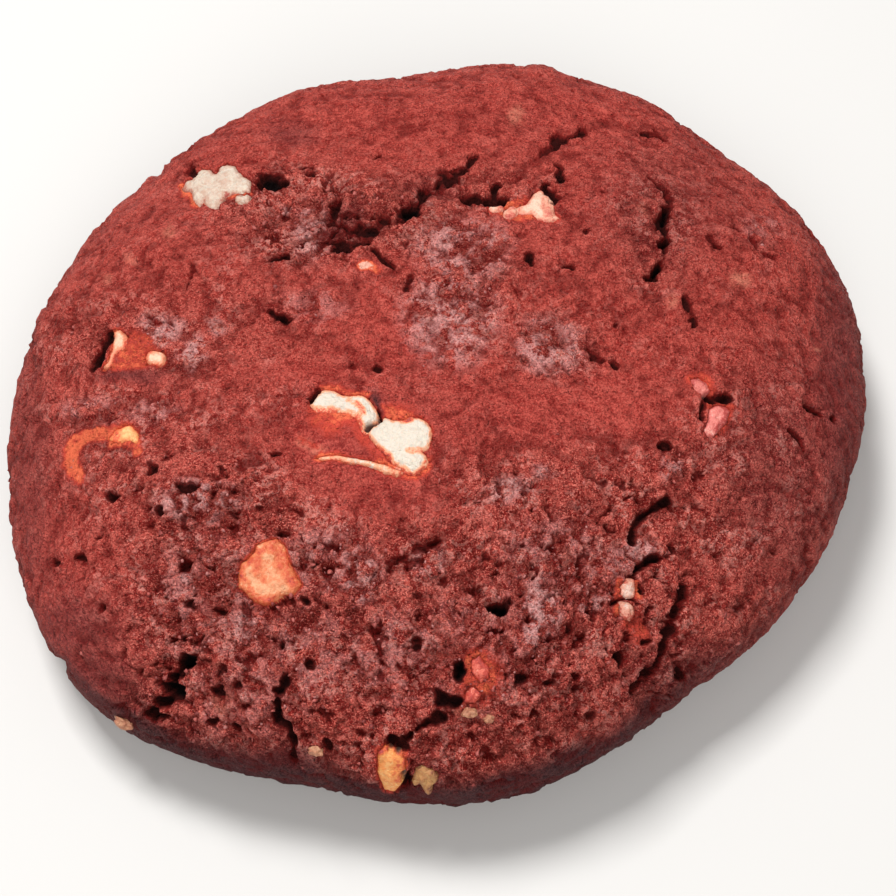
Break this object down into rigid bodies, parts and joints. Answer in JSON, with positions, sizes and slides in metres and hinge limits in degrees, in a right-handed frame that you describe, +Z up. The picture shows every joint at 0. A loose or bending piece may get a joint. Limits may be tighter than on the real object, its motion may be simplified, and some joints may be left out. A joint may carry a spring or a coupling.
{
  "type": "red velvet cookie",
  "caption": "Thick round soft-baked cookie of red dough with a domed, cracked top and white chocolate chunks sunk in it.",
  "frame": {"origin": "middle of the cookie's box, on the surface it lies on", "axes": "+Z up through the domed top, -Y towards the front, where the dough is roughest, +X to the right seen from the front"},
  "size_m": [0.0796, 0.0798, 0.0206],
  "materials": {
    "dough": "matte",
    "white_chocolate": "satin"
  },
  "bodies": {
    "root": {"dough": "dough", "chunk_centre": "white_chocolate", "chunk_back_left": "white_chocolate", "chunk_left": "white_chocolate", "chunk_left_front": "white_chocolate", "chunk_front_left": "white_chocolate", "chunk_back": "white_chocolate", "chunk_front": "white_chocolate", "crumb_front": "white_chocolate", "chunk_right_back": "white_chocolate", "chunk_right": "white_chocolate", "chunk_front_right": "white_chocolate", "chunk_front_middle": "white_chocolate"}
  },
  "joints": []
}
